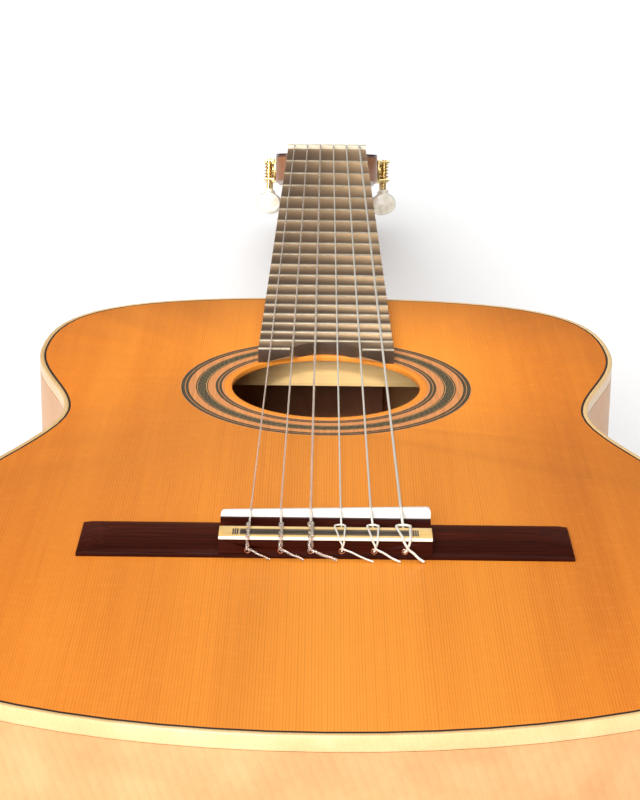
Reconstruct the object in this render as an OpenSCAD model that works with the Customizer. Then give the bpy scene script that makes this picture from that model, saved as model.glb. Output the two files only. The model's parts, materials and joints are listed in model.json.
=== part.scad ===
// Classical guitar with a fan-braced cedar top, Spanish heel and slotted headstock.
// +X is the bass side, +Y points to the headstock, +Z points out of the soundboard.
// The origin lies on the back's outer face, under the middle of the soundhole.

/* [Scale and strings] */
// String length from the nut to the saddle
scale_length = 650; // [630:5:660]
// Distance from the middle of the soundhole to the saddle
hole_to_saddle = 182; // [178:1:186]
// Distance between the outer strings at the nut
span_nut = 43; // [41:0.5:45]
// Distance between the outer strings at the saddle
span_saddle = 58; // [56:0.5:60]
// Gap under the strings at the first frets, above the fret crowns
nut_action = 0.6; // [0.4:0.1:1]

/* [Body] */
// Length of the body
body_length = 488; // [480:1:495]
// Widest part of the lower bout
lower_bout = 366; // [350:1:380]
// Narrowest part of the waist
waist = 237; // [228:1:245]
// Widest part of the upper bout
upper_bout = 279; // [270:1:285]
// Depth of the body, back face to soundboard face
body_depth = 96; // [90:1:102]
// Thickness of the soundboard
top_t = 2.5; // [2.2:0.1:3]
// Thickness of the back
back_t = 2.6; // [2.2:0.1:3]
// Thickness of the ribs, and width of the binding over them
rib_t = 2.2; // [1.8:0.1:2.6]
// Height of the binding
binding_h = 6; // [4:0.5:8]
// Width of the dark purfling line inside the binding
purfling_w = 0.8; // [0.6:0.1:2]
// Radius of the soundhole
hole_r = 44; // [42:0.5:45]
// Inner radius of the rosette
rosette_r1 = 47.6; // [47:0.2:49]
// Outer radius of the rosette
rosette_r2 = 68; // [64:0.5:70]

/* [Neck and headstock] */
// Width of the fingerboard at the nut
nut_w = 52; // [50:0.5:53]
// Width of the fingerboard at the twelfth fret
board_w12 = 62; // [60:0.5:63]
// Thickness of the fingerboard
board_t = 6.4; // [5.5:0.1:7]
// Number of frets
fret_count = 19; // [18:1:19]
// Height of a fret's crown
fret_h = 1; // [0.8:0.1:1.2]
// Thickness of the headstock's wood
head_t = 15.9; // [15:0.1:17]
// Thickness of the headstock's face veneer
veneer_t = 2.2; // [1.5:0.1:3]
// Backward tilt of the headstock
head_tilt = 15; // [12:1:17]
// Length of the headstock
head_length = 182; // [178:1:195]
// Half the width of the headstock
head_half_w = 34.5; // [34:0.5:36]

/* [Bridge] */
// Length of the bridge
bridge_l = 190; // [180:1:195]
// Length of the tie block and of the saddle
block_l = 81.4; // [80:0.2:84]
// Height of the tie block over the soundboard
block_h = 8.7; // [8:0.1:9.5]
// Height of the wood that holds the saddle
ledge_h = 8.8; // [8:0.1:10]
// Height of the saddle at the first string
saddle_h1 = 11.2; // [10.8:0.1:12.5]
// Height of the saddle at the sixth string
saddle_h6 = 12.6; // [12:0.1:14]

/* [Tuning machines] */
// Radius of a string roller
roller_r = 5; // [4.8:0.1:5.2]
// Distance between neighbouring rollers
roller_pitch = 35; // [34:0.5:36]
// Number of teeth on a gear
gear_teeth = 16; // [14:2:16]
// Distance from one turn of the worm's thread to the next
worm_pitch = 2.2; // [2.1:0.05:2.3]

/* [Hidden] */
$fn = 64;
e = 0.01;
far = 400;

// Lengthwise places
saddle_y = -hole_to_saddle;
nut_y = saddle_y + scale_length;
joint_y = saddle_y + scale_length / 2;
tail_y = joint_y - body_length;
nut_t = 5;
head_y = nut_y + nut_t;

// Heights
top_z = body_depth;
board_z = top_z + board_t;
fret_z = board_z + fret_h;
binding_z = body_depth - binding_h;
under_top = body_depth - top_t;

// Linings, blocks and braces
lining_w = 6;
lining_top_h = 15;
lining_back_h = 13;
brace_w = 7;
bar_h = 18;
back_brace_h = 14;
bar_gap = 15;
foot_half_w = 30;
foot_l = 26;
core_half_w = 12;
tail_half_w = 32;
tail_l = 15;
inlay_half_w = 2.5;
rosette_t = 1.2;

// Strings, first to sixth, from -X to +X
string_d = [0.71, 0.82, 1.03, 0.76, 0.90, 1.10];
hole_x = [-29.6, -17, -5.6, 6.2, 18.5, 30.2];
tie_hole_r = 0.9;
string_lift = 0.02;
tie_hole_h = 3.3;
tie_exit_h = 5.4;
winding_x = [20, 17, 18];

// Fingerboard end: two ears around a round notch, undercut along the soundhole
ear_y = saddle_y + 215;
notch_r = 18;
notch_y = saddle_y + 210.5;
undercut_r = 32;
fret_w = 2.2;
tang_w = 0.6;
tang_h = 2;

// Bridge places, from the saddle
bridge_back = saddle_y - 21.3;
bridge_front = saddle_y + 9.3;
block_front = saddle_y - 10.4;
ledge_back = saddle_y - 2.8;
ledge_front = saddle_y + 3.6;
saddle_t = 2.5;
saddle_sink = 5;
saddle_end_r = 1.6;
trough_h = 2.2;
bridge_edge_h = 1.4;
wing_h = 3.9;
front_h = 4.6;
bone_t = 1.1;
mosaic_t = 0.8;
mosaic_w = 5.8;
mosaic_l = 71;
end_bevel_l = 14;

// Headstock places, in the headstock's own frame
slot_half_w = 8;
slot_x = 18.5;
slot_y0 = 22;
slot_y1 = 142;
first_roller = 50;
roller_z = -8;
journal_r = 3;
journal_x = 5;
spindle_r = 2.5;
running = 0.05;
plate_t = 1.6;
plate_y0 = 32;
plate_y1 = 140;
plate_z0 = -15;
plate_z1 = -1;
screw_y = [35.5, 66, 101, 136.5];
screw_r = 1.3;
screw_head_r = 2.4;
screw_l = 5.4;

// Worm and gear
gear_r = gear_teeth * worm_pitch / 360 * 180 / PI;
gear_tip = gear_r + 0.6;
gear_root = gear_r - 0.75;
gear_t = 2.4;
hub_r = 3.6;
worm_r = 2.5;
worm_tip = worm_r + 0.6;
worm_root = worm_r - 0.8;
shaft_r = 1.5;
tab_t = 1.4;
tab_half_y = 4;
tab_out = 3.6;
plate_x = head_half_w + plate_t;
gear_x = plate_x + worm_tip + 0.6;
worm_dy = gear_r + worm_r;
worm_z0 = plate_z0 + tab_t + 0.4;
worm_z1 = plate_z1 - tab_t - 0.4;
shaft_end = plate_z1 + 0.6;
button_top = -21;
button_h = 17;
button_r = 8.5;
button_t = 8;

PLAIN = [
    "soundboard", "rosette", "back_bass_half", "back_treble_half", "back_center_inlay",
    "rib_bass", "rib_treble", "top_linings", "back_linings", "fan_braces", "harmonic_bars",
    "back_braces", "tail_block", "top_purfling", "top_binding", "back_binding",
    "neck", "heel_cap", "headstock", "head_veneer", "fingerboard", "frets", "nut",
    "bridge", "tie_block_bone", "tie_block_mosaic", "saddle",
    "tuner_plate_bass", "tuner_plate_treble", "plate_screws"
];
REPEATED = ["string", "worm", "button", "roller", "gear"];

// ---- Curves and outlines ----

// Point and direction on a cubic curve
function bez(c, t) = pow(1 - t, 3) * c[0] + 3 * t * pow(1 - t, 2) * c[1]
    + 3 * t * t * (1 - t) * c[2] + pow(t, 3) * c[3];
function bez_dir(c, t) = pow(1 - t, 2) * (c[1] - c[0]) + 2 * t * (1 - t) * (c[2] - c[1])
    + t * t * (c[3] - c[2]);

// The right half of the body's outline, from the tail to the neck joint
lower = [lower_bout / 2, joint_y - 380];
middle = [waist / 2, joint_y - 181];
upper = [upper_bout / 2, joint_y - 91];
curves = [
    [[0, tail_y], [100, tail_y], [lower.x, lower.y - 65], lower],
    [lower, [lower.x, lower.y + 85], [middle.x, middle.y - 43], middle],
    [middle, [middle.x, middle.y + 29], [upper.x, upper.y - 36], upper],
    [upper, [upper.x, upper.y + 63], [112, joint_y], [0, joint_y]]
];
curve_steps = 16;
function inset_point(c, t, inset) =
    let (d = bez_dir(c, t) / norm(bez_dir(c, t))) bez(c, t) + inset * [-d.y, d.x];
function half_outline(inset) = concat(
    [for (c = curves) for (i = [0:curve_steps - 1]) inset_point(c, i / curve_steps, inset)],
    [inset_point(curves[3], 1, inset)]
);
function mirrored(points) =
    concat(points, [for (i = [len(points) - 2:-1:1]) [-points[i].x, points[i].y]]);

module body_slab(inset, z0, z1)
    translate([0, 0, z0]) linear_extrude(z1 - z0) polygon(mirrored(half_outline(inset)));

module body_ring(inset0, inset1, z0, z1)
    difference() {
        body_slab(inset0, z0, z1);
        body_slab(inset1, z0 - 1, z1 + 1);
    }

// Only the stretch of the slab that meets the neck
near_half_w = 70;
function near_neck(inset) = mirrored(concat(
    [[0, joint_y - 60]],
    [for (i = [0:curve_steps])
        let (p = inset_point(curves[3], i / curve_steps, inset))
        if (p.x < near_half_w) (p)]
));
module near_slab(inset, z0, z1)
    translate([0, 0, z0]) linear_extrude(z1 - z0) polygon(near_neck(inset));

module box(low, high) translate(low) cube(high - low);

// The half space on one side of the middle plane
module half_space(side)
    translate([side > 0 ? 0 : -far, -2 * far, -far]) cube([far, 4 * far, 2 * far]);

// A round rod between two points
module rod(a, b, r)
    let (d = b - a)
    translate(a) rotate([0, acos(d.z / norm(d)), atan2(d.y, d.x)]) cylinder(h = norm(d), r = r);

// A profile in the YZ plane, drawn out along X
module along_x(half_l, points)
    translate([-half_l, 0, 0]) rotate([90, 0, 90]) linear_extrude(2 * half_l) polygon(points);

// Closed skin over rings that have the same number of points
module skin(rings) {
    n = len(rings[0]);
    m = len(rings);
    sides = [for (k = [0:m - 2]) for (j = [0:n - 1])
        [k * n + j, k * n + (j + 1) % n, (k + 1) * n + (j + 1) % n, (k + 1) * n + j]];
    caps = [[for (j = [n - 1:-1:0]) j], [for (j = [0:n - 1]) (m - 1) * n + j]];
    polyhedron([for (r = rings) for (p = r) p], concat(sides, caps));
}

// ---- Body ----

module soundboard()
    color([0.87, 0.55, 0.27]) difference() {
        body_slab(rib_t + purfling_w, under_top, top_z);
        translate([0, 0, under_top - 1]) cylinder(r = hole_r, h = top_t + 2);
        rosette_ring(top_z + 1);
    }

module rosette_ring(z1)
    translate([0, 0, top_z - rosette_t]) difference() {
        cylinder(r = rosette_r2, h = z1 - top_z + rosette_t);
        translate([0, 0, -1]) cylinder(r = rosette_r1, h = z1 - top_z + rosette_t + 2);
    }

module rosette() color([0.45, 0.35, 0.25]) rosette_ring(top_z);

module back_half(side)
    color([0.52, 0.3, 0.18]) difference() {
        intersection() {
            body_slab(rib_t, 0, back_t);
            half_space(side);
        }
        box([-inlay_half_w, -far, -1], [inlay_half_w, far, back_t + 1]);
    }

module back_center_inlay()
    color([0.86, 0.74, 0.52]) intersection() {
        body_slab(rib_t, 0, back_t);
        box([-inlay_half_w, -far, -1], [inlay_half_w, far, back_t + 1]);
    }

module rib(side)
    color([0.83, 0.62, 0.45]) difference() {
        intersection() {
            body_ring(0, rib_t, binding_h, binding_z);
            half_space(side);
        }
        box([-core_half_w, 0, 0], [core_half_w, far, top_z]);
    }

// Clears the room that the neck's foot and the tail block take
module block_room() {
    box([-foot_half_w, 0, -1], [foot_half_w, far, top_z]);
    box([-tail_half_w, -far, -1], [tail_half_w, 0, top_z]);
}

module top_linings()
    color([0.87, 0.75, 0.55]) difference() {
        body_ring(rib_t, rib_t + lining_w, under_top - lining_top_h, under_top);
        block_room();
    }

module back_linings()
    color([0.87, 0.75, 0.55]) difference() {
        body_ring(rib_t, rib_t + lining_w, back_t, back_t + lining_back_h);
        block_room();
    }

// One strut, thin at both ends, centred on the origin and lying along Y
module strut(l, h)
    along_x(2.5, [[-l / 2, 0], [-l / 2, -1], [-l / 2 + 40, -h], [l / 2 - 40, -h], [l / 2, -1], [l / 2, 0]]);

module fan_braces()
    color([0.9, 0.8, 0.6]) for (i = [-3:3])
        translate([i * 25, saddle_y - 5, under_top]) rotate([0, 0, i * 3.6]) strut(210, 4.5);

module harmonic_bars()
    color([0.9, 0.8, 0.6]) intersection() {
        body_slab(rib_t + lining_w, 0, top_z);
        for (side = [-1, 1])
            let (y = side * (hole_r + bar_gap + brace_w / 2))
            box([-far, y - brace_w / 2, under_top - bar_h], [far, y + brace_w / 2, under_top]);
    }

module back_braces()
    color([0.9, 0.8, 0.6]) intersection() {
        body_slab(rib_t + lining_w, 0, top_z);
        for (y = [80, -75, -215])
            box([-far, y - brace_w / 2, back_t], [far, y + brace_w / 2, back_t + back_brace_h]);
    }

module tail_block()
    color([0.6, 0.38, 0.24]) intersection() {
        body_slab(rib_t, back_t, under_top);
        box([-tail_half_w, -far, 0], [tail_half_w, tail_y + rib_t + tail_l, top_z]);
    }

module top_purfling()
    color([0.2, 0.12, 0.08]) body_ring(rib_t, rib_t + purfling_w, under_top, top_z);

module top_binding() color([0.93, 0.84, 0.66]) body_ring(0, rib_t, binding_z, top_z);

module back_binding() color([0.93, 0.84, 0.66]) body_ring(0, rib_t, 0, binding_h);

// ---- Neck ----

function board_half_w(y) = (nut_w + (nut_y - y) * (board_w12 - nut_w) / (nut_y - joint_y)) / 2;

// Lower half of a rounded section, from -X to +X under the neck's flat top
neck_steps = 18;
function neck_ring(y, half_w, depth, power) = [for (i = [0:neck_steps])
    let (a = 180 * i / neck_steps, c = -cos(a), s = sin(a))
    [half_w * sign(c) * pow(abs(c), 2 / power), y, top_z - depth * pow(s, 2 / power)]];

module neck_shaft()
    skin([
        neck_ring(joint_y - 8, board_half_w(joint_y - 8), 18, 2.3),
        neck_ring(nut_y - 20, board_half_w(nut_y - 20), 15.6, 2.2),
        neck_ring(nut_y - 6, board_half_w(nut_y - 6), 15.8, 2.8),
        neck_ring(nut_y, board_half_w(nut_y), 16, 5),
        neck_ring(head_y, nut_w / 2, head_t / cos(head_tilt), 9)
    ]);

// Plan section of the heel at height z: wide and long at the top, narrow at the cap
function heel_s(z) = (z - back_t) / (top_z - back_t - 4);
function heel_ring(z) =
    let (half_w = 11 + 20 * pow(heel_s(z), 0.85), l = 20 + 8 * heel_s(z) + 66 * pow(heel_s(z), 6))
    concat([[-half_w, joint_y - 8, z]],
        [for (i = [0:neck_steps])
            let (a = 180 * i / neck_steps) [-half_w * cos(a), joint_y + l * pow(sin(a), 0.9), z]],
        [[half_w, joint_y - 8, z]]);

module heel() skin([for (k = [0:12]) heel_ring(back_t + (top_z - back_t - 4) * k / 12)]);

module neck()
    color([0.55, 0.33, 0.2]) {
        difference() {
            union() {
                neck_shaft();
                heel();
            }
            near_slab(0, -1, top_z + 1);
        }
        intersection() {
            difference() {
                near_slab(0, binding_h, binding_z);
                near_slab(rib_t, 0, top_z);
            }
            box([-core_half_w, 0, 0], [core_half_w, far, top_z]);
        }
        intersection() {
            near_slab(rib_t, back_t, under_top);
            box([-foot_half_w, joint_y - rib_t - foot_l, 0], [foot_half_w, far, top_z]);
        }
    }

module heel_cap()
    color([0.3, 0.17, 0.1]) difference() {
        linear_extrude(back_t) polygon([for (p = heel_ring(back_t)) [p.x, p.y]]);
        near_slab(0, -1, back_t + 1);
    }

// Room around the strings and the soundhole at the fingerboard's end
module board_end_room(gap) {
    translate([0, notch_y, top_z - 1]) cylinder(r = notch_r + gap, h = board_t + 4);
    translate([0, 0, top_z]) cylinder(r1 = hole_r + gap, r2 = undercut_r + gap, h = board_t);
    translate([0, 0, board_z - e]) cylinder(r = undercut_r + gap, h = 4);
}

// Cross profile of a fret: a round crown over a thin tang
fret_profile = concat(
    [for (a = [0:15:180]) [fret_w / 2 * cos(a), fret_h * sin(a)]],
    [[-tang_w / 2, 0], [-tang_w / 2, -tang_h], [tang_w / 2, -tang_h], [tang_w / 2, 0]]
);
function fret_y(n) = saddle_y + scale_length * pow(2, -n / 12);

module fret(n)
    difference() {
        translate([0, fret_y(n), board_z]) along_x(board_half_w(fret_y(n)), fret_profile);
        board_end_room(0.2);
    }

module frets() color([0.8, 0.79, 0.74]) for (n = [1:fret_count]) fret(n);

module fingerboard()
    color([0.3, 0.2, 0.14]) difference() {
        translate([0, 0, top_z]) linear_extrude(board_t) polygon([
            [-board_half_w(ear_y), ear_y], [board_half_w(ear_y), ear_y],
            [board_half_w(nut_y), nut_y], [-board_half_w(nut_y), nut_y]
        ]);
        board_end_room(0);
        for (n = [1:fret_count])
            box([-far, fret_y(n) - tang_w / 2, board_z - tang_h],
                [far, fret_y(n) + tang_w / 2, board_z + 1]);
    }

// ---- Headstock, in its own frame: y along the head, z out of its face ----

module head_frame() translate([0, head_y, top_z]) rotate([-head_tilt, 0, 0]) children();

shoulder = [[nut_w / 2, 2], [nut_w / 2, 12], [head_half_w, 8], [head_half_w, 22]];
crown = [
    [head_half_w, head_length - 14], [head_half_w, head_length - 4], [20, head_length - 5], [0, head_length]
];
head_plan = mirrored(concat(
    [[0, -12], [nut_w / 2, -12]],
    [for (i = [0:8]) bez(shoulder, i / 8)],
    [for (i = [0:10]) bez(crown, i / 10)]
));

module slots()
    for (side = [-1, 1])
        translate([side * slot_x, 0, -head_t - 1]) {
            translate([-slot_half_w, slot_y0 + slot_half_w, 0])
                cube([2 * slot_half_w, slot_y1 - slot_y0 - 2 * slot_half_w, head_t + veneer_t + 2]);
            for (y = [slot_y0 + slot_half_w, slot_y1 - slot_half_w])
                translate([0, y, 0]) cylinder(r = slot_half_w, h = head_t + veneer_t + 2);
        }

module neck_side() box([-far, -far, -far], [far, head_y, far]);

// Sides: strings 1 to 3 wind on the -X side, 4 to 6 on the +X side
function side_of(i) = i <= 3 ? -1 : 1;
function row_of(i) = i <= 3 ? i - 1 : 6 - i;
function roller_y(i) = first_roller + row_of(i) * roller_pitch;

// A cylinder along X from |x| = x0 to |x| = x1 on string i's side
module side_rod(side, x0, x1, y, z, r)
    translate([side * x0, y, z]) rotate([0, side * 90, 0]) cylinder(r = r, h = x1 - x0);

module headstock()
    color([0.55, 0.33, 0.2]) difference() {
        head_frame() difference() {
            translate([0, 0, -head_t]) linear_extrude(head_t) polygon(head_plan);
            slots();
            for (i = [1:6]) {
                side_rod(side_of(i), slot_x, head_half_w + 1, roller_y(i), roller_z, roller_r + running);
                side_rod(side_of(i), journal_x - 0.3, slot_x, roller_y(i), roller_z, journal_r + running);
            }
            for (side = [-1, 1]) for (y = screw_y)
                side_rod(side, head_half_w - screw_l, head_half_w + 1, y, roller_z, screw_r);
        }
        neck_side();
    }

module head_veneer()
    color([0.27, 0.15, 0.1]) difference() {
        head_frame() difference() {
            linear_extrude(veneer_t) polygon(head_plan);
            slots();
        }
        neck_side();
    }

// ---- Tuning machines ----

module tuner_plate(side)
    color([0.85, 0.72, 0.4]) head_frame() difference() {
        union() {
            box([side > 0 ? head_half_w : -plate_x, plate_y0, plate_z0],
                [side > 0 ? plate_x : -head_half_w, plate_y1, plate_z1]);
            for (k = [0:2]) for (z = [plate_z0, plate_z1 - tab_t])
                let (y = first_roller + k * roller_pitch - worm_dy, x1 = gear_x + tab_out)
                box([side > 0 ? plate_x - e : -x1, y - tab_half_y, z],
                    [side > 0 ? x1 : -plate_x + e, y + tab_half_y, z + tab_t]);
        }
        for (k = [0:2]) let (y = first_roller + k * roller_pitch) {
            side_rod(side, head_half_w - 1, plate_x + 1, y, roller_z, spindle_r + running);
            translate([side * gear_x, y - worm_dy, plate_z0 - 1]) cylinder(r = shaft_r + running, h = 20);
        }
        for (y = screw_y) side_rod(side, head_half_w - 1, plate_x + 1, y, roller_z, screw_r);
    }

module plate_screws()
    color([0.85, 0.72, 0.4]) head_frame() for (side = [-1, 1]) for (y = screw_y) {
        side_rod(side, head_half_w - screw_l, plate_x + 0.5, y, roller_z, screw_r);
        side_rod(side, plate_x, plate_x + 1, y, roller_z, screw_head_r);
    }

// Worm thread: four rows a turn, the two flank feet and the two crest edges
thread_rows = [[-0.665, worm_root], [-0.155, worm_tip], [0.155, worm_tip], [0.665, worm_root]];
thread_steps = 16;
thread_last = 4 * ceil((worm_z1 - worm_z0) / worm_pitch + 2);
function thread_point(k, j) =
    let (row = thread_rows[k % 4], a = 360 * j / thread_steps)
    [row[1] * cos(a), row[1] * sin(a), worm_pitch * (floor(k / 4) + j / thread_steps) + row[0]];
function thread_index(k, j) =
    j == thread_steps ? thread_index(k + 4, 0)
    : k <= thread_last ? k * thread_steps + j
    : (thread_last + 1) * thread_steps + k - thread_last - 1;

module thread() {
    points = concat(
        [for (k = [0:thread_last]) for (j = [0:thread_steps - 1]) thread_point(k, j)],
        [for (k = [thread_last + 1:thread_last + 4]) thread_point(k, 0)],
        [[0, 0, 0], [0, 0, worm_pitch * (thread_last / 4 + 0.5)]]
    );
    low = len(points) - 2;
    loops = [for (k = [0, thread_last])
        concat(
            [for (j = [0:thread_steps - 1]) thread_index(k, j)],
            [for (q = [4:-1:1]) thread_index(k + q, 0)]
        )];
    sides = [for (k = [0:thread_last - 1]) for (j = [0:thread_steps - 1]) [
        thread_index(k, j), thread_index(k + 1, j), thread_index(k + 1, j + 1), thread_index(k, j + 1)]];
    n = thread_steps + 4;
    ends = concat(
        [for (q = [0:n - 1]) [low, loops[0][q], loops[0][(q + 1) % n]]],
        [for (q = [0:n - 1]) [low + 1, loops[1][(q + 1) % n], loops[1][q]]]
    );
    polyhedron(points, concat(sides, ends));
}

// The gear's tooth points at the worm at rest, so the thread straddles the gear's height
module worm(i)
    color([0.85, 0.72, 0.4]) head_frame() translate([side_of(i) * gear_x, roller_y(i) - worm_dy, 0])
        rotate([0, 0, 90]) {
            intersection() {
                translate([0, 0, roller_z - worm_pitch * (floor(thread_last / 8) - 0.5)]) thread();
                translate([-5, -5, worm_z0]) cube([10, 10, worm_z1 - worm_z0]);
            }
            translate([0, 0, button_top - 8]) cylinder(r = shaft_r, h = shaft_end - button_top + 8);
        }

// Half profile of a button: a collar, then a rounded grip
button_profile = concat(
    [[shaft_r, button_top], [3, button_top], [3, button_top - 3]],
    [for (a = [60:-15:-90]) [button_r * cos(a) * (a > -60 ? 1 : 0.9),
        button_top - 3 - (button_h - 3) / 2
            + (button_h - 3) / 2 * sin(a) / sin(60) * (a > 0 ? 1 : sin(60))]],
    [[0, button_top - button_h + 5], [0, button_top - 8], [shaft_r, button_top - 8]]
);

module button(i)
    color([0.93, 0.9, 0.82]) head_frame() translate([side_of(i) * gear_x, roller_y(i) - worm_dy, 0])
        intersection() {
            rotate_extrude() polygon(button_profile);
            translate([-12, -button_t / 2, button_top - 30]) cube([24, button_t, 40]);
        }

module roller(i)
    color([0.92, 0.88, 0.78]) head_frame() difference() {
        union() {
            side_rod(side_of(i), journal_x, slot_x, roller_y(i), roller_z, journal_r);
            side_rod(side_of(i), slot_x - slot_half_w + 0.5, head_half_w - 0.2,
                roller_y(i), roller_z, roller_r);
            side_rod(side_of(i), slot_x, gear_x + gear_t / 2, roller_y(i), roller_z, spindle_r);
        }
        translate([side_of(i) * 23, roller_y(i), roller_z - 10]) cylinder(r = 0.8, h = 20);
    }

gear_plan = [for (k = [0:gear_teeth - 1]) for (q = [[-0.67, gear_root], [-0.18, gear_tip],
    [0.18, gear_tip], [0.67, gear_root]])
    let (a = 360 * k / gear_teeth + q[0] / q[1] * 180 / PI) [q[1] * cos(a), q[1] * sin(a)]];

module gear(i)
    color([0.85, 0.72, 0.4]) head_frame() translate([side_of(i) * gear_x, roller_y(i), roller_z])
        rotate([0, side_of(i) * 90, 0]) difference() {
            union() {
                translate([0, 0, -gear_t / 2]) linear_extrude(gear_t) rotate([0, 0, 90]) polygon(gear_plan);
                translate([0, 0, plate_x + 0.3 - gear_x]) cylinder(r = hub_r, h = gear_x - plate_x - 0.3);
            }
            translate([0, 0, -10]) cylinder(r = spindle_r, h = 20);
        }

// ---- Nut, bridge and saddle ----

// A string's slot: level over the nut's front half, then falling towards its roller
module nut_slot(i) {
    p = nut_point(i);
    q = tangent_point(i);
    floor_z = p.z - string_r(i) - running;
    half_w = string_r(i) + running;
    end_y = head_y + 1;
    end_z = floor_z + (q.z - p.z) / (q.y - p.y) * (end_y - p.y);
    translate([p.x, 0, 0]) along_x(half_w, [
        [nut_y - 1, floor_z], [p.y, floor_z], [end_y, end_z], [end_y, floor_z + 5], [nut_y - 1, floor_z + 5]
    ]);
}

module nut()
    color([0.94, 0.91, 0.82]) difference() {
        box([-nut_w / 2, nut_y, top_z], [nut_w / 2, head_y, fret_z + nut_action + 0.45]);
        for (i = [1:6]) nut_slot(i);
    }

// Height of the wing's domed top at y
function wing_z(y) =
    let (u = (2 * y - bridge_back - bridge_front) / (bridge_front - bridge_back))
    bridge_edge_h + (wing_h - bridge_edge_h) * sqrt(max(0, 1 - u * u));

wing_profile = concat(
    [[bridge_back, 0]],
    [for (k = [0:14])
        let (y = bridge_back + (bridge_front - bridge_back) * (1 - cos(180 * k / 14)) / 2) [y, wing_z(y)]],
    [[bridge_front, 0]]
);
block_profile = [
    [bridge_back, 0], [bridge_back, block_h - bone_t], [block_front, block_h - bone_t],
    [block_front, trough_h], [ledge_back, trough_h], [ledge_back, ledge_h], [ledge_front, ledge_h],
    [bridge_front, front_h], [bridge_front, 0]
];

// Middle of a tie hole at y: it rises from the block's back face to its front face
function tie_place(x, y) =
    [x, y, top_z + tie_hole_h + (tie_exit_h - tie_hole_h) * (y - bridge_back) / (block_front - bridge_back)];

module bridge()
    color([0.3, 0.13, 0.09]) difference() {
        translate([0, 0, top_z]) difference() {
            union() {
                difference() {
                    along_x(bridge_l / 2, wing_profile);
                    along_x(block_l / 2,
                        [for (p = block_profile) [p.x + (p.x < block_front - 1 ? -1 : 1), p.y + 9]]);
                    for (side = [-1, 1])
                        translate([side * bridge_l / 2, saddle_y - 6, bridge_edge_h])
                            rotate([0, side * atan((wing_h - bridge_edge_h) / end_bevel_l), 0])
                            translate([-20, -30, 0]) cube([40, 60, 10]);
                    box([-block_l / 2, block_front, trough_h], [block_l / 2, ledge_back, 20]);
                }
                along_x(block_l / 2, block_profile);
            }
            box([-block_l / 2, saddle_y - saddle_t / 2, ledge_h - saddle_sink],
                [block_l / 2, saddle_y + saddle_t / 2, 20]);
        }
        for (x = hole_x)
            rod(tie_place(x, bridge_back - 1), tie_place(x, block_front + 1), tie_hole_r);
    }

module mosaic_box(z1)
    box([-mosaic_l / 2, (bridge_back + block_front - mosaic_w) / 2, top_z + block_h - mosaic_t],
        [mosaic_l / 2, (bridge_back + block_front + mosaic_w) / 2, z1]);

module tie_block_bone()
    color([0.95, 0.91, 0.76]) difference() {
        box([-block_l / 2, bridge_back, top_z + block_h - bone_t],
            [block_l / 2, block_front, top_z + block_h]);
        mosaic_box(top_z + block_h + 1);
    }

module tie_block_mosaic() color([0.2, 0.16, 0.14]) mosaic_box(top_z + block_h);

function saddle_h(x) = saddle_h1 + (saddle_h6 - saddle_h1) * (x + span_saddle / 2) / span_saddle;

// Rounded end of the saddle's top, on the +X or -X side
function saddle_corner(side, a) = [
    side * (block_l / 2 - saddle_end_r * (1 - cos(a))),
    saddle_h(side * block_l / 2) - saddle_end_r * (1 - sin(a))
];

module saddle()
    color([0.95, 0.93, 0.86]) translate([0, saddle_y + saddle_t / 2, top_z]) rotate([90, 0, 0])
        linear_extrude(saddle_t) polygon([
            [-block_l / 2, ledge_h - saddle_sink], [block_l / 2, ledge_h - saddle_sink],
            for (a = [0:22.5:90]) saddle_corner(1, a),
            for (a = [90:-22.5:0]) saddle_corner(-1, a)
        ]);

// ---- Strings ----

function string_r(i) = string_d[i - 1] / 2;
function string_x(i, span) = (i - 3.5) * span / 5;
// The string bends over the saddle's back edge
function saddle_point(i) =
    let (x = string_x(i, span_saddle))
    [x, saddle_y - saddle_t / 2, top_z + saddle_h(x) + string_r(i) + string_lift];
function nut_point(i) =
    [string_x(i, span_nut), nut_y + nut_t / 2, fret_z + nut_action + string_r(i)];

// Where the string meets the top of its winding, in the headstock's frame and in the guitar's
function to_head(p) = let (y = p.y - head_y, z = p.z - top_z)
    [p.x, y * cos(head_tilt) - z * sin(head_tilt), y * sin(head_tilt) + z * cos(head_tilt)];
function from_head(p) = [
    p.x, head_y + p.y * cos(head_tilt) + p.z * sin(head_tilt), top_z - p.y * sin(head_tilt) + p.z * cos(head_tilt)
];
function tangent_point(i) =
    let (
        a = to_head(nut_point(i)),
        dy = roller_y(i) - a.y,
        dz = roller_z - a.z,
        r = roller_r + 0.3 + string_r(i),
        d = norm([dy, dz]),
        angle = atan2(dz, dy) + asin(r / d),
        l = sqrt(d * d - r * r)
    )
    from_head([side_of(i) * winding_x[row_of(i)], a.y + l * cos(angle), a.z + l * sin(angle)]);

// From the top of the tie block down its back, through its hole, over the saddle and nut
function string_route(i) =
    let (
        r = string_r(i),
        x = hole_x[i - 1],
        over = top_z + block_h + r + 0.1,
        behind = bridge_back - r - 0.35
    )
    [
        [x, block_front - 1, over], [x, behind, over], tie_place(x, behind),
        tie_place(x, block_front + 0.4), saddle_point(i), nut_point(i), tangent_point(i)
    ];

// Directions in the YZ plane along a route: before and after point k
function yz_dir(a, b) = let (d = [b.y - a.y, b.z - a.z]) d / norm(d);
function dir_in(route, k) = yz_dir(route[max(0, k - 1)], route[max(1, k)]);
function dir_out(route, k) =
    let (last = len(route) - 1) yz_dir(route[min(last - 1, k)], route[min(last, k + 1)]);

// A mitred ring of the string at point k of its route
string_sides = 8;
function string_ring(route, k, r) =
    let (
        u = dir_in(route, k),
        w = dir_out(route, k),
        n = [-u.y - w.y, u.x + w.x],
        v = 2 * n / (n * n) * r
    )
    [for (j = [0:string_sides - 1])
        let (a = 360 * (j + 0.5) / string_sides)
        route[k] + [r * cos(a), v.x * sin(a), v.y * sin(a)]];

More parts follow.
